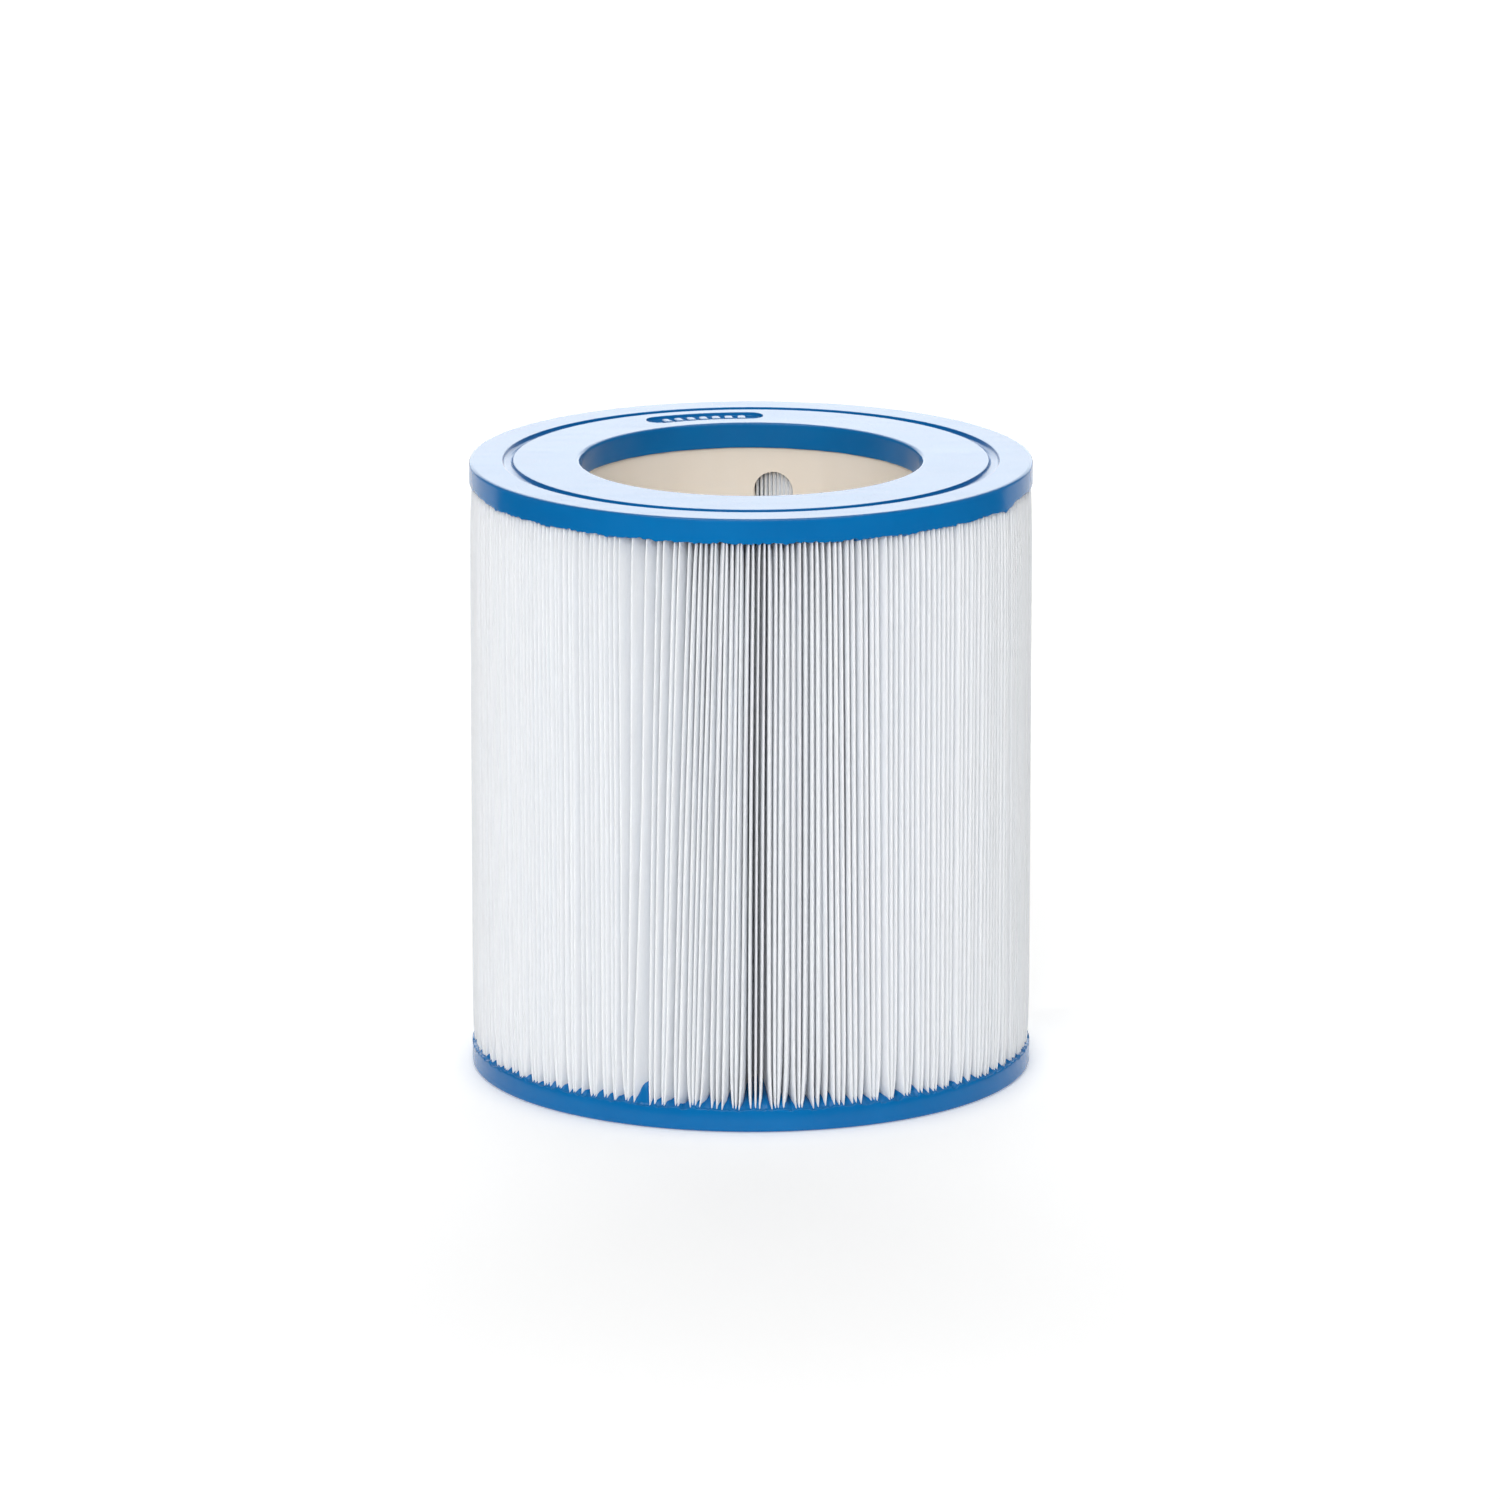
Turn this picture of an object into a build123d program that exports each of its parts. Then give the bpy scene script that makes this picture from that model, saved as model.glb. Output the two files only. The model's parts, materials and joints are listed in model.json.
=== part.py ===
# Pleated filter cartridge for a pool or spa filter.
# A folded polyester sheet round a perforated core tube, with both ends cast into
# ring-shaped urethane caps.  The cartridge stands on the origin, with +Z up.
from build123d import *
from math import cos, pi, radians, sin
import os

os.makedirs("parts", exist_ok=True)

# ---- overall, mm ----
overall_height = 195.6
cap_radius = 88.9
bore_radius = 54.0

# ---- end caps: depths are measured inwards from each cap's outer face ----
top_rim_depth = 7.7
bottom_rim_depth = 7.1
lip_depth = 8.2
seat_depth = 3.4
rim_fillet = 1.0
groove_inner_radius = 75.0
groove_outer_radius = 78.3
groove_depth = 1.6
groove_floor_fillet = 1.2
groove_mouth_fillet = 0.3

# ---- label recess in the top cap: blank but for a row of plain raised pads ----
recess_radius = 65.6
recess_angle = 103.4
recess_length = 39.0
recess_width = 10.2
recess_depth = 1.2
pad_count = 7
pad_length = 2.6
pad_width = 4.6
pad_pitch = 4.1
pad_height = 0.9

# ---- core tube ----
core_inner_radius = 55.0
core_wall = 3.0
core_outer_radius = core_inner_radius + core_wall
hole_radius = 6.35
hole_rows = 6
holes_per_row = 6
end_row_inset = 22.5
first_hole_angle = 82.5

# ---- pleated sheet ----
pleat_count = 276
sheet_thickness = 0.5
fold_outer_radius = 88.3
fold_inner_radius = 58.4
fold_half_width = 0.32
seam_angle = 60.0
seam_depth = 9.0

filled_height = overall_height - 2 * seat_depth


def polar(radius, angle):
    """Point at a radius and an angle in radians."""
    return (radius * cos(angle), radius * sin(angle))


# ---- outline of the folded sheet: one strip whose two ends meet at the seam ----
def folded_side(offset):
    """Points along one face of the strip, a signed half thickness off its middle."""
    pleat_angle = 2 * pi / pleat_count
    start = radians(seam_angle)
    outer_radius = fold_outer_radius - sheet_thickness / 2 + offset
    inner_radius = fold_inner_radius + sheet_thickness / 2 + offset
    outer_shift = (fold_half_width + offset) / outer_radius
    inner_shift = (fold_half_width - offset) / inner_radius
    points = [polar(fold_outer_radius, start + outer_shift)]
    for pleat in range(pleat_count):
        valley = start + (pleat + 0.5) * pleat_angle
        ridge = start + (pleat + 1) * pleat_angle
        points.append(polar(inner_radius, valley - inner_shift))
        points.append(polar(inner_radius, valley + inner_shift))
        if pleat < pleat_count - 1:
            points.append(polar(outer_radius, ridge - outer_shift))
            points.append(polar(outer_radius, ridge + outer_shift))
    points.append(polar(fold_outer_radius, start - outer_shift))
    return points


def along(start, end, share):
    """Point part of the way from start to end."""
    return (start[0] + (end[0] - start[0]) * share, start[1] + (end[1] - start[1]) * share)


outside = folded_side(sheet_thickness / 2)
inside = folded_side(-sheet_thickness / 2)
seam_share = seam_depth / (fold_outer_radius - fold_inner_radius)

with BuildSketch() as sheet_outline:
    with BuildLine():
        Polyline(*outside, *reversed(inside), close=True)
    make_face()

with BuildSketch() as seam_outline:
    with BuildLine():
        Polyline(
            inside[0],
            along(inside[0], inside[1], seam_share),
            along(inside[-1], inside[-2], seam_share),
            inside[-1],
            close=True,
        )
    make_face()


# ---- end cap: a cast ring whose lip laps the core and whose body fills between the pleats ----
def cast_cap(face_height, inward, rim_depth):
    """Cap with its outer face at face_height, growing in the direction inward (+1 or -1)."""
    groove_middle = (groove_inner_radius + groove_outer_radius) / 2
    with BuildPart() as cap:
        with BuildSketch(Plane.XZ):
            with BuildLine():
                Polyline(
                    (bore_radius, face_height),
                    (cap_radius, face_height),
                    (cap_radius, face_height + inward * rim_depth),
                    (core_outer_radius, face_height + inward * rim_depth),
                    (core_outer_radius, face_height + inward * seat_depth),
                    (core_inner_radius, face_height + inward * seat_depth),
                    (core_inner_radius, face_height + inward * lip_depth),
                    (bore_radius, face_height + inward * lip_depth),
                    close=True,
                )
            make_face()
        revolve(axis=Axis.Z)

        face_edges = cap.edges().filter_by_position(Axis.Z, face_height - 0.01, face_height + 0.01)
        fillet(face_edges, radius=rim_fillet)

        with BuildSketch(Plane.XZ):
            with Locations((groove_middle, face_height)):
                Rectangle(groove_outer_radius - groove_inner_radius, 2 * groove_depth)
        revolve(axis=Axis.Z, mode=Mode.SUBTRACT)
        floor_height = face_height + inward * groove_depth
        floor_edges = cap.edges().filter_by_position(Axis.Z, floor_height - 0.01, floor_height + 0.01)
        fillet(floor_edges, radius=groove_floor_fillet)
        mouth_edges = cap.edges().filter_by_position(Axis.Z, face_height - 0.01, face_height + 0.01)
        mouth_edges = mouth_edges.sort_by(SortBy.RADIUS)[1:3]
        fillet(mouth_edges, radius=groove_mouth_fillet)

        with BuildSketch(Plane.XY.offset(face_height + inward * seat_depth)):
            add(sheet_outline.sketch)
            add(seam_outline.sketch)
        extrude(amount=inward * (rim_depth - seat_depth), mode=Mode.SUBTRACT)
    return cap.part


# ---- top end cap ----
recess_turn = (recess_length - recess_width) / recess_radius
with BuildPart() as top_end_cap:
    add(cast_cap(overall_height, -1, top_rim_depth))
    with BuildSketch(Plane.XY.offset(overall_height)):
        with BuildLine() as recess_middle:
            CenterArc(
                (0, 0),
                recess_radius,
                recess_angle - recess_turn * 90 / pi,
                recess_turn * 180 / pi,
            )
        SlotArc(recess_middle.edge(), recess_width)
    extrude(amount=-recess_depth, mode=Mode.SUBTRACT)
    with BuildSketch(Plane.XY.offset(overall_height - recess_depth)):
        for pad in range(pad_count):
            pad_angle = recess_angle + (pad - (pad_count - 1) / 2) * pad_pitch / recess_radius * 180 / pi
            with Locations(Location((*polar(recess_radius, radians(pad_angle)), 0), pad_angle)):
                Rectangle(pad_width, pad_length)
    extrude(amount=pad_height)
top_end_cap.part.label = "top_end_cap"
export_step(top_end_cap.part, "parts/top_end_cap.step")

# ---- bottom end cap ----
with BuildPart() as bottom_end_cap:
    add(cast_cap(0, 1, bottom_rim_depth))
bottom_end_cap.part.label = "bottom_end_cap"
export_step(bottom_end_cap.part, "parts/bottom_end_cap.step")

# ---- core tube with staggered rows of round holes ----
row_pitch = (overall_height - 2 * end_row_inset) / (hole_rows - 1)
hole_step = 360 / holes_per_row
with BuildPart() as core_tube:
    with BuildSketch(Plane.XY.offset(seat_depth)):
        Circle(core_outer_radius)
        Circle(core_inner_radius, mode=Mode.SUBTRACT)
    extrude(amount=filled_height)
    for row in range(hole_rows):
        row_height = overall_height - end_row_inset - row * row_pitch
        row_turn = first_hole_angle + (row % 2) * hole_step / 2
        for place in range(holes_per_row):
            angle = row_turn + place * hole_step
            hole_plane = Plane(
                origin=(0, 0, row_height),
                z_dir=(cos(radians(angle)), sin(radians(angle)), 0),
            )
            with BuildSketch(hole_plane.offset(core_inner_radius - 2 * core_wall)):
                Circle(hole_radius)
            extrude(amount=4 * core_wall, mode=Mode.SUBTRACT)
core_tube.part.label = "core_tube"
export_step(core_tube.part, "parts/core_tube.step")

# ---- pleated sheet ----
with BuildPart() as pleated_media:
    with BuildSketch(Plane.XY.offset(seat_depth)):
        add(sheet_outline.sketch)
    extrude(amount=filled_height)
pleated_media.part.label = "pleated_media"
export_step(pleated_media.part, "parts/pleated_media.step")

# ---- seam strip bonded between the two ends of the sheet ----
with BuildPart() as media_seam:
    with BuildSketch(Plane.XY.offset(seat_depth)):
        add(seam_outline.sketch)
    extrude(amount=filled_height)
media_seam.part.label = "media_seam"
export_step(media_seam.part, "parts/media_seam.step")
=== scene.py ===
import json
from math import cos, pi, radians, sin

import bmesh
import bpy
import numpy as np
from mathutils import Matrix, Vector


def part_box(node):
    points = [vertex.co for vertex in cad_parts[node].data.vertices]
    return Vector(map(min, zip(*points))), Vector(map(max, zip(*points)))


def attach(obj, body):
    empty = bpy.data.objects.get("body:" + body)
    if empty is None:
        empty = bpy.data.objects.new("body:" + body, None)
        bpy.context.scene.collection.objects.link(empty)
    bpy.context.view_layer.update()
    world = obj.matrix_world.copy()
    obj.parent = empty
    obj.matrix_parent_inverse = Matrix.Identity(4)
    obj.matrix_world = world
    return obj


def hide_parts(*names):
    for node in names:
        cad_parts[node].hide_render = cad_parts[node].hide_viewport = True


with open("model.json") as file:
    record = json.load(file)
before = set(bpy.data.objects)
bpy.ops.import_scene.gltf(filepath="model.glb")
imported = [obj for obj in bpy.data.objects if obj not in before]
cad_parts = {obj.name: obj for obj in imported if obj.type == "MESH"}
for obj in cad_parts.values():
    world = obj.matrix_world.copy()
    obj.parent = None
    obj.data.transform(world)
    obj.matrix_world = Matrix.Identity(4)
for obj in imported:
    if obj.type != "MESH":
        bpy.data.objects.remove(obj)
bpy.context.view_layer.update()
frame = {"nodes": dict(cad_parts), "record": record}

# ---------------------------------------------------------------- sizes, in metres
MM = 0.001
record = frame["record"]
mounts = {mount["name"]: mount for mount in record["mounts"]}
cap_low, cap_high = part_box("top_end_cap")
core_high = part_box("core_tube")[1]
media_low, media_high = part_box("pleated_media")

height = cap_high[2]
cap_radius = cap_high[0]
bore_radius = mounts["top_bore"]["dims"]["r_mm"] * MM
core_radius = core_high[0]
core_wall = 3.0 * MM
core_inner = core_radius - core_wall
seat_depth = media_low[2]
lip_depth = cap_high[2] - cap_low[2]
top_rim_depth = 7.7 * MM
bottom_rim_depth = 7.1 * MM

rim_fillet = 1.0 * MM
groove_inner = 75.0 * MM
groove_outer = 78.3 * MM
groove_depth = 1.6 * MM

recess_radius = 65.6 * MM
recess_angle = radians(103.4)
recess_length = 39.0 * MM
recess_width = 10.2 * MM
recess_depth = 1.2 * MM
pad_count = 7
pad_length = 2.6 * MM
pad_width = 4.6 * MM
pad_pitch = 4.1 * MM
pad_height = 0.9 * MM

pleat_count = 276
pleat_angle = 2 * pi / pleat_count
fold_outer = 88.3 * MM
fold_inner = 58.4 * MM
middle_radius = 84.2 * MM  # where the flanks of neighbouring pleats come closest
sheet_thickness = 0.30 * MM
fold_half_width = 0.31 * MM  # the narrowest that a folded-over sheet can be
crease_width = 0.56  # of the fold's half width, the part that is rounded over
crease_depth = 0.32 * MM  # from the fold's tip in to the sides of the crease
shoulder_depth = 1.5 * MM  # and in to the shoulders, where the flanks start
seam_angle = radians(60)
seam_depth = 9.0 * MM
front = radians(-90)  # towards the camera

rng = np.random.default_rng(11)


# ---------------------------------------------------------------- helpers
def mesh_object(name, points, faces, flat_faces=()):
    """Object of smooth faces, except those in flat_faces, in the row frame."""
    mesh = bpy.data.meshes.new(name)
    mesh.from_pydata([tuple(point) for point in points], [], [tuple(face) for face in faces])
    smooth = np.ones(len(mesh.polygons), dtype=bool)
    smooth[list(flat_faces)] = False
    mesh.polygons.foreach_set("use_smooth", smooth)
    mesh.update()
    thing = bpy.data.objects.new(name, mesh)
    bpy.context.collection.objects.link(thing)
    return thing


def wrap(angle):
    """Angle brought to between -pi and pi."""
    return (angle + pi) % (2 * pi) - pi


def smooth_noise(angle, waves, seed):
    """Seeded sum of a few waves round the circle, about -1 to 1."""
    local = np.random.default_rng(seed)
    total = np.zeros_like(angle)
    for wave in waves:
        phase = local.uniform(0, 2 * pi)
        total = total + np.sin(wave * angle + phase) * local.uniform(0.6, 1.0)
    return total / len(waves) ** 0.5


# ---------------------------------------------------------------- pleat layout
def clump_offsets(size_choices, seed):
    """How far each pleat moves towards the middle of its clump, in pleat pitches."""
    local = np.random.default_rng(seed)
    offsets = np.zeros(pleat_count)
    start = 1
    while start < pleat_count:
        size = min(int(local.choice(size_choices)), pleat_count - start)
        middle = start + (size - 1) / 2
        pull = local.uniform(0.45, 1.15)
        for pleat in range(start, start + size):
            offsets[pleat] = (middle - pleat) * pull
        start += size
    return offsets


base_angle = seam_angle + np.arange(pleat_count) * pleat_angle
front_angle = wrap(base_angle - front)
bottom_clumps = clump_offsets((2, 2, 3, 3, 3, 4), 5)
top_clumps = clump_offsets((1, 1, 2, 2, 3), 8)
quiet_seam = 1 - np.exp(-(wrap(base_angle - seam_angle) / radians(4)) ** 2)
pleat_noise = rng.normal(0, 1, (4, pleat_count))
slow_noise = smooth_noise(base_angle, (3, 5, 8, 13), 3)


def bell(at_angle, width):
    """Smooth bump over the pleats round one angle from the front."""
    return np.exp(-(wrap(front_angle - at_angle) / width) ** 2)


# the pleats lean to the left in front, lie over one another, and fan apart towards the foot
near_front = bell(0, radians(55))
open_front = bell(radians(1.4), radians(2.0))
laid_wide = bell(radians(-22), radians(9))
laid_over = np.clip(
    laid_wide + bell(0, radians(42)) * (0.75 + 0.35 * pleat_noise[2]), 0, 1
) * (1 - open_front)
front_lean = -1.5 * MM * bell(radians(-5), radians(42))
front_drift = 4.0 * MM * bell(radians(-14), radians(11)) - 1.6 * MM * bell(radians(22), radians(14))


def spread(at_angle, opening, reach):
    """Pleats pushed apart at one place, fading away over a reach, in metres."""
    arc = wrap(front_angle - at_angle) * fold_outer
    return np.sign(arc) * opening / 2 * np.exp(-np.abs(arc) / reach)


def gap_after_pleat(angle):
    """Middle of the gap just past the pleat nearest to an angle from the front."""
    nearest = np.argmin(np.abs(wrap(front_angle - angle)))
    return front_angle[nearest] + pleat_angle / 2


wide_gaps = (
    # angle of the pleat that it follows; opening at the top, middle and foot; reach
    (radians(-24.8), 2.9 * MM, 1.9 * MM, 0.1 * MM, 38 * MM),
    (radians(-23.5), 2.7 * MM, 1.8 * MM, 0.3 * MM, 38 * MM),
    (radians(-22.2), 1.8 * MM, 1.3 * MM, 3.6 * MM, 35 * MM),
    (radians(-19.6), 1.5 * MM, 1.0 * MM, 0.6 * MM, 30 * MM),
    (radians(-17.0), 0.9 * MM, 0.6 * MM, 0.3 * MM, 22 * MM),
    (radians(-36), 0.4 * MM, 0.5 * MM, 1.4 * MM, 14 * MM),
    (radians(14), 0.3 * MM, 0.3 * MM, 1.2 * MM, 10 * MM),
    (radians(22), 0.8 * MM, 0.4 * MM, 0.2 * MM, 12 * MM),
    (radians(28), 0.9 * MM, 0.4 * MM, 0.3 * MM, 12 * MM),
    (radians(150), 1.5 * MM, 1.2 * MM, 2.0 * MM, 22 * MM),
    (radians(-115), 1.0 * MM, 1.0 * MM, 1.8 * MM, 20 * MM),
    (radians(95), 1.2 * MM, 0.8 * MM, 1.5 * MM, 20 * MM),
)
foot_gap = radians(-22.2)
# the pleats at the widest gap in the foot are not pulled back together
bottom_clumps[np.abs(wrap(front_angle - gap_after_pleat(foot_gap))) < 2.2 * pleat_angle] = 0


def tip_angles(level):
    """Angle of each pleat's outer fold at a level from 0, the foot, to 1, the top."""
    above_foot = max(level * height - bottom_rim_depth, 0)
    below_top = max((1 - level) * height - top_rim_depth, 0)
    foot_pull = 0.38 * np.exp(-above_foot / (7 * MM)) + 0.10 * np.exp(-above_foot / (40 * MM))
    top_pull = np.exp(-below_top / (9 * MM))
    pitch = pleat_angle * fold_outer
    move = pleat_noise[0] * 0.15 * MM
    move = move + pleat_noise[1] * 0.20 * MM * (level - 0.5)
    move = move + slow_noise * (1 - near_front) * (level - 0.45) * 2.4 * MM
    move = move + front_lean + front_drift * (level - 0.3)
    move = move + bottom_clumps * pitch * foot_pull
    move = move + top_clumps * pitch * 0.14 * top_pull
    top_share = max(2 * level - 1, 0)
    foot_share = max(1 - 2 * level, 0)
    for angle, at_top, at_middle, at_foot, reach in wide_gaps:
        opening = at_middle + (at_top - at_middle) * top_share + (at_foot - at_middle) * foot_share
        move = move + spread(gap_after_pleat(angle), opening, reach)
    return base_angle + quiet_seam * move / fold_outer


def pleat_half_widths(level, tips):
    """Half the width of each pleat near its outer fold, pinched where the ends are cast in."""
    above = max(level * height - bottom_rim_depth, 0)
    below = max((1 - level) * height - top_rim_depth, 0)
    fullness = (1 - np.exp(-above / (6 * MM))) * (1 - np.exp(-below / (7 * MM)))
    full_width = (0.48 + 0.16 * (1 - level) + 0.05 * pleat_noise[2]) * (1 - 0.3 * open_front)
    wanted = fold_half_width + (full_width * MM - fold_half_width) * fullness
    gap_after = (np.roll(tips, -1) - tips) % (2 * pi) * fold_outer
    gap_before = np.roll(gap_after, 1)
    room = np.minimum(gap_after, gap_before) / 2 - 0.03 * MM
    return np.maximum(np.minimum(wanted, room), fold_half_width)


def flank_shape(edge, below_rim, middle):
    """Radius of each pleat's flanks where they come closest, and how far each side stands out.

    Near the end caps and in the open gap in front the flanks stay flat, and elsewhere they
    fill the room up to the next pleat.  Where the pleats lie over, most of it is on one side.
    """
    near_cap = 0.8 * (1 - 0.6 * laid_wide) * np.exp(-max(edge - 7.4 * MM, 0) / (11 * MM))
    open_share = 1 - (1 - open_front) * (1 - near_cap)
    shallow = 1.6 * MM * bell(radians(5), radians(55)) * (1 - 0.9 * laid_wide)
    radius = middle_radius + (shallow + 0.3 * MM * pleat_noise[0]) * (1 - open_share)
    radius = radius - 3.0 * MM * laid_wide * np.exp(-below_rim / (9 * MM))
    gap_after = (np.roll(middle, -1) - middle) % (2 * pi) * middle_radius
    gap_before = np.roll(gap_after, 1)
    clearance, narrowest, flat_width = 0.12 * MM, 0.40 * MM, 0.37 * MM
    widths = []
    for gap, share, widest in (
        (gap_after, 0.5 + 0.28 * laid_over, 3.2 * MM),
        (gap_before, 0.5 - 0.28 * laid_over, 1.8 * MM),
    ):
        room = np.clip(gap * share - clearance, narrowest, widest)
        widths.append(room + (flat_width - room) * open_share)
    return radius, *widths


# ---------------------------------------------------------------- pleated sheet
def pleat_row(level):
    """Points of the strip's outside and inside at one level, running from seam to seam."""
    tips = tip_angles(level)
    widths = pleat_half_widths(level, tips)
    edge = min(level, 1 - level) * height
    below_rim = max((1 - level) * height - top_rim_depth, 0)
    pinch = np.exp(-max(edge - 7 * MM, 0) / (6 * MM))
    unevenness = np.clip(pleat_noise[3], -2, 0.5) * 0.2 * MM
    tip_radius = fold_outer + (0.45 - 0.75 * pinch) * MM + unevenness
    share = (middle_radius - fold_inner) / (fold_outer - fold_inner)
    curl = 0.12 * MM * smooth_noise(base_angle + 0.25 * level, (9, 17, 31), 21)
    middle = base_angle + (tips - base_angle) * share ** 1.3 + curl * quiet_seam / middle_radius
    side_radius, width_after, width_before = flank_shape(edge, below_rim, middle)
    valley = base_angle + pleat_angle / 2

    def ring(offset):
        """Each pleat's nine points, offset from the strip's outside by its thickness."""
        half = widths - offset
        columns = [
            (tips - half, tip_radius - shoulder_depth),
            (tips - half * crease_width, tip_radius - crease_depth - offset),
            (tips, tip_radius - offset),
            (tips + half * crease_width, tip_radius - crease_depth - offset),
            (tips + half, tip_radius - shoulder_depth),
        ]
        points = []
        for angle, radius in columns:
            shift = (angle - tips) / radius
            points.append((tips + shift, radius))
        side = (width_after - offset) / middle_radius
        points.append((middle + side, side_radius))
        next_middle = np.roll(middle, -1)
        next_middle[-1] += 2 * pi
        next_side = np.roll((width_before - offset) / middle_radius, -1)
        fold = (0.1 * MM + offset * 0.65) / fold_inner
        fold_radius = fold_inner + sheet_thickness - offset
        points.append((valley - fold, np.full(pleat_count, fold_radius)))
        points.append((valley + fold, np.full(pleat_count, fold_radius)))
        points.append((next_middle - next_side, np.roll(side_radius, -1)))
        angles = np.stack([angle for angle, _ in points], axis=1)
        radii = np.stack([radius for _, radius in points], axis=1)
        # the seam parts the first pleat, so the strip starts and ends on its flanks
        last_angle = angles[0, 0] + 2 * pi
        last_radius = radii[0, 0]
        angles = np.append(angles.reshape(-1)[4:], last_angle)
        radii = np.append(radii.reshape(-1)[4:], last_radius)
        return np.stack([radii * np.cos(angles), radii * np.sin(angles)], axis=1)

    return ring(0.0), ring(sheet_thickness)


foot = media_low[2]
head = media_high[2]
row_heights = [
    foot, 7.1 * MM, 8.2 * MM, 9.8 * MM, 12 * MM, 15.5 * MM, 20.5 * MM, 30 * MM, 52 * MM,
    80 * MM, 108 * MM, 136 * MM, 160 * MM, 173 * MM, 180.5 * MM, 184.5 * MM,
    height - top_rim_depth, head,
]
outside_rows = []
inside_rows = []
for row_height in row_heights:
    outside, inside = pleat_row(row_height / height)
    outside_rows.append(np.column_stack([outside, np.full(len(outside), row_height)]))
    inside_rows.append(np.column_stack([inside, np.full(len(inside), row_height)]))


def build_media():
    """The strip as one closed solid: both its sides, its two ends, its foot and its head."""
    rows = len(row_heights)
    stations = len(outside_rows[0])
    points = np.concatenate(outside_rows + inside_rows)
    inner_start = rows * stations
    faces = []
    for row in range(rows - 1):
        for station in range(stations - 1):
            low = row * stations + station
            high = low + stations
            faces.append((low, low + 1, high + 1, high))
            low += inner_start
            high += inner_start
            faces.append((low, high, high + 1, low + 1))
        for station in (0, stations - 1):
            low = row * stations + station
            high = low + stations
            ends = (low, high, high + inner_start, low + inner_start)
            faces.append(ends if station == 0 else ends[::-1])
    for row in (0, rows - 1):
        for station in range(stations - 1):
            near = row * stations + station
            edge = (near, near + inner_start, near + 1 + inner_start, near + 1)
            faces.append(edge if row == 0 else edge[::-1])
    return mesh_object("media_sheet", points, faces)


media = build_media()
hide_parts("pleated_media")
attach(media, "root")


# ---------------------------------------------------------------- seam strip
def build_seam():
    """The adhesive between the sheet's two ends, as deep as the seam."""
    points = []
    faces = []
    share = seam_depth / (fold_outer - middle_radius)
    for inside in inside_rows:
        start, start_deep, end_deep, end = inside[0], inside[1], inside[-2], inside[-1]
        points.append(start)
        points.append(start + (start_deep - start) * share)
        points.append(end + (end_deep - end) * share)
        points.append(end)
    for row in range(len(inside_rows) - 1):
        low = 4 * row
        for side in range(4):
            after = (side + 1) % 4
            faces.append((low + side, low + after, low + 4 + after, low + 4 + side))
    last = 4 * (len(inside_rows) - 1)
    faces.append((3, 2, 1, 0))
    faces.append((last, last + 1, last + 2, last + 3))
    return mesh_object("seam_strip", points, faces, flat_faces=range(len(faces)))


seam = build_seam()
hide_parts("media_seam")
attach(seam, "root")


# ---------------------------------------------------------------- end caps
cap_steps = pleat_count * 4
step_angle = seam_angle + np.arange(cap_steps) * 2 * pi / cap_steps


def arc(center, radius, start, end, steps):
    """Points of a quarter-round in the (radius, depth) plane, ends included."""
    angles = np.linspace(start, end, steps + 1)
    return [(center[0] + radius * cos(angle), center[1] + radius * sin(angle)) for angle in angles]


def nearest_pleat(level):
    """Distance along the rim from each step to the nearest pleat's flank."""
    pleat_half_width = 0.47 * MM
    tips = np.sort(tip_angles(level) % (2 * pi))
    around = np.concatenate([tips - 2 * pi, tips, tips + 2 * pi])
    steps = step_angle % (2 * pi)
    place = np.searchsorted(around, steps)
    before = steps - around[place - 1]
    after = around[place] - steps
    return np.maximum(np.minimum(before, after) * fold_outer - pleat_half_width, 0)


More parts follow.
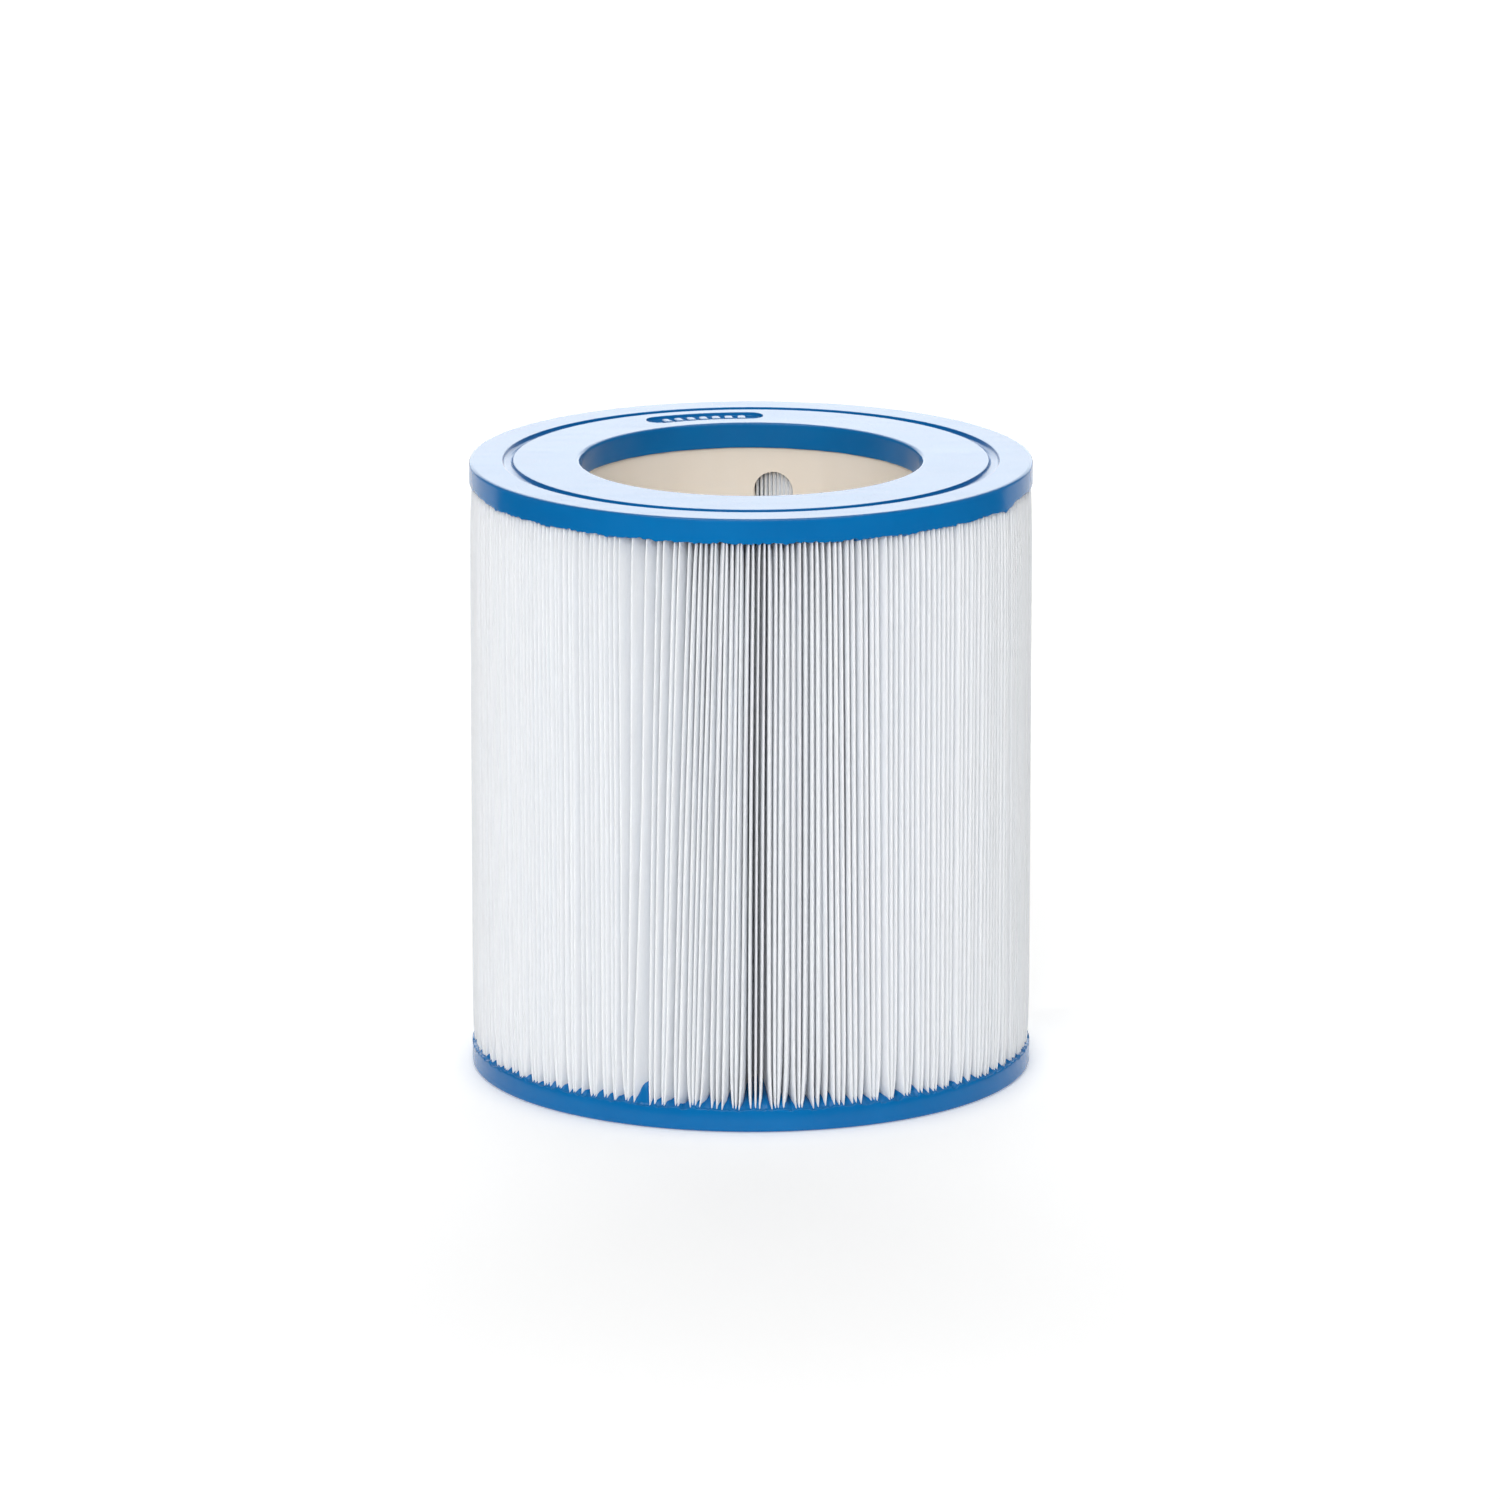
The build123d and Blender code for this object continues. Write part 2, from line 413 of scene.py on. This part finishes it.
def cap_profile(rim_depth, rise):
    """The cap's section, from the lip round to the fill, and the number of its inner land's point.

    Each point is (radius, depth, raggedness, climb between the pleats).
    """
    fillet = rim_fillet
    mouth = 0.3 * MM
    bottom = 1.2 * MM
    lip = [
        (core_inner, lip_depth - 0.4 * MM, 0.0),
        (core_inner - 0.15 * MM, lip_depth - 0.08 * MM, 0.5),
        (bore_radius + 0.35 * MM, lip_depth, 0.5),
        (bore_radius + 0.08 * MM, lip_depth - 0.12 * MM, 0.5),
        (bore_radius, lip_depth - 0.4 * MM, 0.4),
        (bore_radius, lip_depth - 1.2 * MM, 0.0),
        (bore_radius, fillet + 0.3 * MM, 0.0),
    ]
    bore_edge = arc((bore_radius + fillet, fillet), fillet, pi, 1.5 * pi, 8)
    inner_mouth = arc((groove_inner - mouth, mouth), mouth, 1.5 * pi, 2 * pi, 4)
    floor_inner = arc((groove_inner + bottom, groove_depth - bottom), bottom, pi, 0.5 * pi, 6)
    floor_outer = arc((groove_outer - bottom, groove_depth - bottom), bottom, 0.5 * pi, 0, 6)
    outer_mouth = arc((groove_outer + mouth, mouth), mouth, pi, 1.5 * pi, 4)
    rim_edge = arc((cap_radius - fillet, fillet), fillet, 1.5 * pi, 2 * pi, 8)
    ring = bore_edge + inner_mouth + floor_inner + floor_outer + outer_mouth + rim_edge
    skirt = [
        (cap_radius, fillet + 0.3 * MM, 0.0),
        (cap_radius, rim_depth - 1.6 * MM, 0.0),
        (cap_radius, rim_depth - 0.7 * MM, 0.3),
        (cap_radius - 0.02 * MM, rim_depth - 0.3 * MM, 0.8),
        (cap_radius - 0.14 * MM, rim_depth - 0.08 * MM, 1.0),
        (cap_radius - 0.40 * MM, rim_depth, 1.0),
        (cap_radius - 0.80 * MM, rim_depth + 0.02 * MM, 1.0),
    ]
    fill_radii = (87.7, 87.2, 86.6, 85.9, 85.0, 83.8, 82.0, 79.0, 74.0, 67.0, 61.0)
    fill = []
    for radius in fill_radii:
        climb = 1 - np.exp(-(cap_radius - 0.9 * MM - radius * MM) / (2.4 * MM))
        fill.append((radius * MM, rim_depth + rise * climb, 1.0 + climb, climb))
    pocket = [
        (core_radius, rim_depth + rise, 0.0),
        (core_radius, seat_depth, 0.0),
        (core_inner, seat_depth, 0.0),
    ]
    ring = [(radius, depth, 0.0) for radius, depth in ring]
    land_after = len(lip) + len(bore_edge) - 1
    level_part = [(*place, 0.0) for place in lip + ring + skirt]
    return level_part + fill + [(*place, 0.0) for place in pocket], land_after


def cap_points(profile, level, seed, notch, swell):
    """Rings of points for a cap that faces up, with a ragged cast edge against the pleats.

    The edge is cut back by the notch, and what fills between the pleats climbs by the swell.
    """
    flank = nearest_pleat(level)
    wetting = np.exp(-flank / (0.35 * MM)) - 0.45
    ripple = smooth_noise(step_angle, (23, 41, 67, 95), seed)
    drip = smooth_noise(step_angle, (138, 171, 214, 259), seed + 1)
    rings = []
    for radius, depth, ragged, climb in profile:
        if radius < groove_inner and depth > groove_depth and ragged < 1:
            wave = 0.10 * MM * smooth_noise(step_angle, (5, 11, 19, 37), seed + 2)
        else:
            wave = 0.26 * MM * wetting + 0.30 * MM * ripple + 0.20 * MM * drip - notch
        z = -(depth + ragged * wave + climb * swell)
        rings.append(np.column_stack([radius * np.cos(step_angle), radius * np.sin(step_angle), z]))
    return rings


def slot_loop(inset, z, straight=60, round_steps=24):
    """Outline of the label recess, a curved slot, drawn in by an inset."""
    half = recess_width / 2 - inset
    turn = (recess_length - recess_width) / 2 / recess_radius
    points = []
    for place in np.linspace(-turn, turn, straight):
        angle = recess_angle + place
        points.append(((recess_radius + half) * cos(angle), (recess_radius + half) * sin(angle), z))
    for way, side in ((1, 0.0), (-1, pi)):
        angle = recess_angle + way * turn
        middle = Vector((recess_radius * cos(angle), recess_radius * sin(angle), 0))
        for step in range(1, round_steps):
            swing = angle + side + pi * step / round_steps
            points.append((middle.x + half * cos(swing), middle.y + half * sin(swing), z))
        if way == 1:
            for place in np.linspace(turn, -turn, straight):
                angle = recess_angle + place
                radius = recess_radius - half
                points.append((radius * cos(angle), radius * sin(angle), z))
    return points


def build_cap(name, rim_depth, rise, level, seed, notch, swell, recessed):
    profile, land_after = cap_profile(rim_depth, rise)
    rings = cap_points(profile, level, seed, notch, swell)
    points = [tuple(point) for ring in rings for point in ring]
    faces = []
    flat = []
    for ring in range(len(rings)):
        after_ring = (ring + 1) % len(rings)
        if recessed and ring == land_after:
            continue
        z_step = abs(profile[ring][1] - profile[after_ring][1])
        for step in range(cap_steps):
            after = (step + 1) % cap_steps
            if profile[ring][1] < 1e-9 and z_step < 1e-9:
                flat.append(len(faces))
            faces.append((
                ring * cap_steps + step,
                after_ring * cap_steps + step,
                after_ring * cap_steps + after,
                ring * cap_steps + after,
            ))
    if recessed:
        add_recess(points, faces, flat, land_after)
    return mesh_object(name, points, faces, flat)


def add_recess(points, faces, flat, land_after):
    """Closes the flat land round the label recess, and builds the recess down into it."""
    round_steps = 4
    swings = [pi / 2 * step / round_steps for step in range(1, round_steps + 1)]
    edge = 0.28 * MM
    insets = [(0.0, 0.0)]
    for angle in swings:
        insets.append((edge * sin(angle), -edge * (1 - cos(angle))))
    foot_round = 0.4 * MM
    wall_inset = edge + 0.05 * MM
    wall_foot = recess_depth - foot_round
    insets.append((wall_inset, -wall_foot))
    for angle in swings:
        inset = wall_inset + foot_round * (1 - cos(angle))
        insets.append((inset, -wall_foot - foot_round * sin(angle)))
    loops = []
    for inset, z in insets:
        loop = slot_loop(inset, z)
        loops.append(range(len(points), len(points) + len(loop)))
        points.extend(loop)
    size = len(loops[0])
    for outer, inner in zip(loops, loops[1:]):
        for place in range(size):
            after = (place + 1) % size
            faces.append((outer[place], outer[after], inner[after], inner[place]))
    inner_land = range(land_after * cap_steps, (land_after + 1) * cap_steps)
    outer_land = range((land_after + 1) * cap_steps, (land_after + 2) * cap_steps)
    feet = []
    tops = []
    for pad in range(pad_count):
        turn = (pad - (pad_count - 1) / 2) * pad_pitch / recess_radius
        foot, top = add_pad(points, faces, recess_angle + turn)
        feet.append(foot)
        tops.append((top,))
    for boundary in ((inner_land, outer_land, loops[0]), (loops[-1], *feet), *tops):
        for face in filled(points, boundary):
            flat.append(len(faces))
            faces.append(face)


def add_pad(points, faces, angle):
    """A plain raised pad on the recess floor.  Returns its foot and top outlines."""
    middle = Vector((recess_radius * cos(angle), recess_radius * sin(angle), 0))
    turn = Matrix.Rotation(angle, 4, "Z")
    corner = 1.1 * MM
    crown = 0.95 * MM
    edge = 0.3 * MM
    round_steps = 6
    levels = [(-edge, 0.0), (-0.08 * MM, 0.05 * MM), (0.0, 0.25 * MM), (0.0, pad_height - edge)]
    for step in range(1, round_steps + 1):
        swing = pi / 2 * step / round_steps
        levels.append((crown * (1 - cos(swing)), pad_height - edge + edge * sin(swing)))
    half_width = pad_width / 2 - corner
    half_length = pad_length / 2 - corner
    outlines = []
    for inset, rise in levels:
        start = len(points)
        reach = corner - inset
        for quarter in range(4):
            side_x = 1 if quarter in (0, 3) else -1
            side_y = 1 if quarter in (0, 1) else -1
            for step in range(round_steps + 1):
                swing = pi / 2 * (quarter + step / round_steps)
                place = Vector((
                    side_x * half_width + reach * cos(swing),
                    side_y * half_length + reach * sin(swing),
                    rise - recess_depth,
                ))
                points.append(tuple(middle + turn @ place))
        outlines.append(range(start, len(points)))
    for lower, upper in zip(outlines, outlines[1:]):
        for place in range(len(lower)):
            after = (place + 1) % len(lower)
            faces.append((lower[place], lower[after], upper[after], upper[place]))
    return outlines[0], outlines[-1]


def filled(points, loops):
    """Triangles of a flat face bounded by closed loops of point numbers, facing up."""
    work = bmesh.new()
    edges = []
    for loop in loops:
        made = [work.verts.new(points[number]) for number in loop]
        for vert, number in zip(made, loop):
            vert.index = number
        for place in range(len(made)):
            edges.append(work.edges.new((made[place], made[(place + 1) % len(made)])))
    numbers = {vert: vert.index for vert in work.verts}
    bmesh.ops.triangle_fill(work, use_beauty=True, use_dissolve=False, edges=edges)
    triangles = []
    for face in work.faces:
        corners = [numbers[vert] for vert in face.verts]
        if face.normal.z < 0:
            corners.reverse()
        triangles.append(tuple(corners))
    work.free()
    return triangles


step_front = wrap(step_angle - front)


def step_bell(at_angle, width):
    """Smooth bump over the cap's steps round one angle from the front."""
    return np.exp(-(wrap(step_front - at_angle) / width) ** 2)


def step_up(angle, start, width):
    """From 0 to 1 as an angle passes a start."""
    return (np.tanh((angle - start) / width) + 1) / 2


# the top cap's edge is shorter at both sides, with one drip at the right
right_side = step_up(step_front, radians(67.8), radians(0.7))
right_side = right_side * np.exp(-np.maximum(step_front - radians(75), 0) / radians(20))
left_side = step_up(-step_front, radians(70), radians(2)) * step_bell(radians(-75), radians(25))
short_side = right_side + 0.8 * left_side
drip = step_bell(radians(64), radians(1.6))
top_cap = build_cap(
    "cap_top", top_rim_depth, 0.9 * MM, 1 - top_rim_depth / height, 31,
    (1.2 * short_side - 0.9 * drip) * MM, 0.0, True
)
top_cap.data.transform(Matrix.Translation((0, 0, height)))

# the bottom cap's fill climbs unevenly between the pleats, and highest in their widest gap
uneven = smooth_noise(step_angle, (31, 53, 74, 101), 77) * MM
foot_tips = np.sort(wrap(tip_angles(bottom_rim_depth / height) - front))
widest = np.argmax(np.diff(foot_tips) * (np.abs(foot_tips[:-1] - foot_gap) < radians(5)))
arch_angle = (foot_tips[widest] + foot_tips[widest + 1]) / 2
arch = 4.6 * MM * np.exp(-(wrap(step_front - arch_angle) / radians(1.25)) ** 4)
arch = arch + 1.5 * MM * step_bell(arch_angle, radians(3))
bottom_cap = build_cap(
    "cap_bottom", bottom_rim_depth, 2.6 * MM, bottom_rim_depth / height, 47,
    0.0, np.maximum(uneven, -1.6 * MM) + arch, False
)
bottom_cap.data.transform(Matrix.Scale(-1, 4, (0, 0, 1)))
bottom_cap.data.flip_normals()
for cap, node in ((top_cap, "top_end_cap"), (bottom_cap, "bottom_end_cap")):
    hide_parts(node)
    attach(cap, "root")


# ---------------------------------------------------------------- materials
def new_material(name):
    material = bpy.data.materials.new(name)
    material.use_nodes = True
    nodes = material.node_tree.nodes
    return material, nodes, material.node_tree.links, nodes["Principled BSDF"]


def add_node(nodes, kind, **values):
    node = nodes.new(kind)
    for key, value in values.items():
        if key in node.inputs:
            node.inputs[key].default_value = value
        else:
            setattr(node, key, value)
    return node


def stretched_noise(nodes, links, scale, stretch, detail=4.0, rough=0.5):
    """Noise on the object's own coordinates, stretched along each axis."""
    place = nodes.new("ShaderNodeTexCoord")
    mapping = nodes.new("ShaderNodeMapping")
    mapping.inputs["Scale"].default_value = stretch
    noise = add_node(nodes, "ShaderNodeTexNoise", Scale=scale, Detail=detail, Roughness=rough)
    links.new(place.outputs["Object"], mapping.inputs["Vector"])
    links.new(mapping.outputs["Vector"], noise.inputs["Vector"])
    return noise.outputs["Fac"]


def ramp(nodes, links, source, low, high, start=0.3, end=0.7):
    """Colour between low and high as the source goes from start to end."""
    node = nodes.new("ShaderNodeValToRGB")
    node.color_ramp.elements[0].position = start
    node.color_ramp.elements[1].position = end
    node.color_ramp.elements[0].color = (*low, 1)
    node.color_ramp.elements[1].color = (*high, 1)
    links.new(source, node.inputs["Fac"])
    return node.outputs["Color"]


def spread_value(nodes, links, source, low, high, start=0.3, end=0.7):
    """Value between low and high as the source goes from start to end."""
    node = add_node(nodes, "ShaderNodeMapRange")
    node.inputs["From Min"].default_value = start
    node.inputs["From Max"].default_value = end
    node.inputs["To Min"].default_value = low
    node.inputs["To Max"].default_value = high
    links.new(source, node.inputs["Value"])
    return node.outputs["Result"]


def add_bump(nodes, links, shader, source, strength, distance, before=None):
    bump = add_node(nodes, "ShaderNodeBump", Strength=strength, Distance=distance)
    links.new(source, bump.inputs["Height"])
    if before is not None:
        links.new(before, bump.inputs["Normal"])
    links.new(bump.outputs["Normal"], shader.inputs["Normal"])
    return bump.outputs["Normal"]


def urethane_material():
    material, nodes, links, shader = new_material("cast_urethane_blue")
    cloud = stretched_noise(nodes, links, 45, (1, 1, 1))
    colour = ramp(nodes, links, cloud, (0.0, 0.140, 0.400), (0.0, 0.157, 0.435))
    links.new(colour, shader.inputs["Base Color"])
    scuff = stretched_noise(nodes, links, 260, (0.15, 1, 1), detail=6.0)
    links.new(spread_value(nodes, links, scuff, 0.14, 0.22), shader.inputs["Roughness"])
    shader.inputs["IOR"].default_value = 1.3
    drawn = stretched_noise(nodes, links, 700, (0.12, 1, 0.02), detail=2.0)
    pits = stretched_noise(nodes, links, 1500, (1, 1, 1), detail=1.0)
    first = add_bump(nodes, links, shader, drawn, 0.04, 0.0001)
    sparse = spread_value(nodes, links, pits, 0.0, 1.0, 0.24, 0.28)
    add_bump(nodes, links, shader, sparse, 0.2, 0.0001, first)
    return material


def polyester_material():
    material, nodes, links, shader = new_material("spunbonded_polyester")
    fibre = stretched_noise(nodes, links, 2600, (1, 1, 0.15), detail=5.0, rough=0.65)
    mottle = stretched_noise(nodes, links, 420, (1, 1, 0.12), detail=3.0)
    tint = ramp(nodes, links, mottle, (0.912, 0.942, 0.985), (0.938, 0.958, 0.99))
    speckle = ramp(nodes, links, fibre, (0.96, 0.965, 0.97), (1.0, 1.0, 1.0), 0.35, 0.6)
    mix = add_node(nodes, "ShaderNodeMix", data_type="RGBA", blend_type="MULTIPLY")
    mix.inputs["Factor"].default_value = 1.0
    links.new(tint, mix.inputs["A"])
    links.new(speckle, mix.inputs["B"])
    links.new(mix.outputs["Result"], shader.inputs["Base Color"])
    shader.inputs["Roughness"].default_value = 0.85
    shader.inputs["Specular IOR Level"].default_value = 0.25
    shader.inputs["Sheen Weight"].default_value = 0.15
    shader.inputs["Sheen Roughness"].default_value = 0.6
    shader.inputs["Subsurface Weight"].default_value = 0.45
    shader.inputs["Subsurface Radius"].default_value = (1.0, 1.0, 1.0)
    shader.inputs["Subsurface Scale"].default_value = 0.0008
    add_bump(nodes, links, shader, fibre, 0.15, 0.0001)
    return material


def core_material():
    material, nodes, links, shader = new_material("moulded_core_cream")
    cloud = stretched_noise(nodes, links, 60, (1, 1, 0.3))
    colour = ramp(nodes, links, cloud, (0.94, 0.85, 0.735), (0.96, 0.885, 0.785))
    links.new(colour, shader.inputs["Base Color"])
    grain = stretched_noise(nodes, links, 900, (1, 1, 1), detail=3.0)
    links.new(spread_value(nodes, links, grain, 0.42, 0.58), shader.inputs["Roughness"])
    add_bump(nodes, links, shader, grain, 0.12, 0.0001)
    return material


def adhesive_material():
    material, nodes, links, shader = new_material("hot_melt_adhesive")
    cloud = stretched_noise(nodes, links, 300, (1, 1, 0.4))
    colour = ramp(nodes, links, cloud, (0.70, 0.67, 0.58), (0.80, 0.78, 0.70))
    links.new(colour, shader.inputs["Base Color"])
    links.new(spread_value(nodes, links, cloud, 0.3, 0.5), shader.inputs["Roughness"])
    add_bump(nodes, links, shader, cloud, 0.3, 0.0002)
    return material


def paint(thing, material):
    thing.data.materials.clear()
    thing.data.materials.append(material)


urethane = urethane_material()
for cap in (top_cap, bottom_cap):
    paint(cap, urethane)
paint(media, polyester_material())
paint(seam, adhesive_material())
core = frame["nodes"]["core_tube"]
core_finish = core_material()
for place in core.material_slots:
    place.link = "OBJECT"
    place.material = core_finish


# ---------------------------------------------------------------- floor and light
def plain_material(name, colour, roughness):
    material, nodes, links, shader = new_material(name)
    shader.inputs["Base Color"].default_value = (*colour, 1)
    shader.inputs["Roughness"].default_value = roughness
    shader.inputs["Specular IOR Level"].default_value = 0.2
    return material


def flat_plate(name, reach, level):
    """Level square plate round the object, which belongs to the stage."""
    corners = [(-1, -1), (1, -1), (1, 1), (-1, 1)]
    points = [(x * reach, y * reach, level) for x, y in corners]
    plate = mesh_object(name, points, [(0, 1, 2, 3)], [0])
    return plate


floor_reach = 6
floor_level = -0.2 * MM  # clear of the underside, so that the two don't share a plane
floor = flat_plate("floor", floor_reach, floor_level)
floor_white = plain_material("floor_white", (0.93, 0.93, 0.93), 0.7)
floor_glow = floor_white.node_tree.nodes["Principled BSDF"]
floor_glow.inputs["Emission Color"].default_value = (1, 1, 1, 1)
floor_glow.inputs["Emission Strength"].default_value = 0.24
paint(floor, floor_white)


flag_level = 0.5 * MM
flag_steps = 48


def floor_flag(inner, outer, half_turn):
    """Dark card on the floor round the camera's side, which only reflections see."""
    points = []
    faces = []
    around = np.linspace(front - half_turn, front + half_turn, flag_steps + 1)
    for step, angle in enumerate(around):
        for radius in (inner, outer):
            points.append((radius * cos(angle), radius * sin(angle), flag_level))
        if step:
            faces.append((2 * step - 2, 2 * step - 1, 2 * step + 1, 2 * step))
    card = mesh_object("dark_flag", points, faces, range(len(faces)))
    card.visible_camera = False
    card.visible_diffuse = False
    card.visible_shadow = False
    return card


flag = floor_flag(inner=0.104, outer=5.5, half_turn=radians(122))
paint(flag, plain_material("flag_black", (0.01, 0.01, 0.01), 1.0))


def soft_light(name, place, aim, width, depth, power, in_reflections=True):
    light = bpy.data.lights.new(name, "AREA")
    light.shape = "RECTANGLE"
    light.size = width
    light.size_y = depth
    light.energy = power
    lamp = bpy.data.objects.new(name, light)
    bpy.context.collection.objects.link(lamp)
    lamp.location = place
    lamp.rotation_euler = (Vector(aim) - Vector(place)).to_track_quat("-Z", "Y").to_euler()
    lamp.visible_camera = False
    lamp.visible_glossy = in_reflections
    return lamp


# cards are seen only in reflections, and walls light surfaces without being reflected
centre = (0, 0, height / 2)
cards = (
    soft_light("back_card", (0, 2.6, 0.95), (0, 0, 0.2), 3.4, 1.5, 42),
    soft_light("upper_card", (0, 1.5, 1.9), centre, 3.0, 1.7, 46),
    soft_light("top_card", (0, -0.7, 2.2), centre, 2.6, 1.8, 50),
)
for card in cards:
    card.data.color = (1.0, 1.0, 0.95)
    card.visible_diffuse = False
soft_light("back_wall", (0, 2.3, 1.3), (0, 1.0, 0), 3.2, 1.5, 30, in_reflections=False)
soft_light("front_wall", (-0.35, -2.45, 1.45), centre, 1.5, 1.3, 37.5, in_reflections=False)
soft_light("top_wall", (0, -0.7, 2.2), centre, 2.6, 1.4, 20, in_reflections=False)
soft_light("left_wall", (-2.1, 0.1, 0.8), centre, 1.6, 1.4, 1.5, in_reflections=False)
soft_light("right_wall", (2.1, 0.1, 0.8), centre, 1.6, 1.4, 3.5, in_reflections=False)

world = bpy.data.worlds.new("studio")
world.use_nodes = True
background = world.node_tree.nodes["Background"]
background.inputs["Color"].default_value = (1, 1, 1, 1)
background.inputs["Strength"].default_value = 0.30
bpy.context.scene.world = world
bpy.context.scene.view_settings.view_transform = "Standard"

# ---------------------------------------------------------------- camera
camera_distance = 3.418
camera_pitch = radians(13.74)
camera_target = Vector((-0.0003, 0, 0.101))
camera_data = bpy.data.cameras.new("camera")
camera_data.sensor_width = 36
camera_data.lens = 258.5
camera_data.clip_end = 50
camera = bpy.data.objects.new("camera", camera_data)
bpy.context.collection.objects.link(camera)
sight = Vector((0, cos(camera_pitch), -sin(camera_pitch)))
camera.location = camera_target - sight * camera_distance
camera.rotation_euler = sight.to_track_quat("-Z", "Y").to_euler()
bpy.context.scene.camera = camera
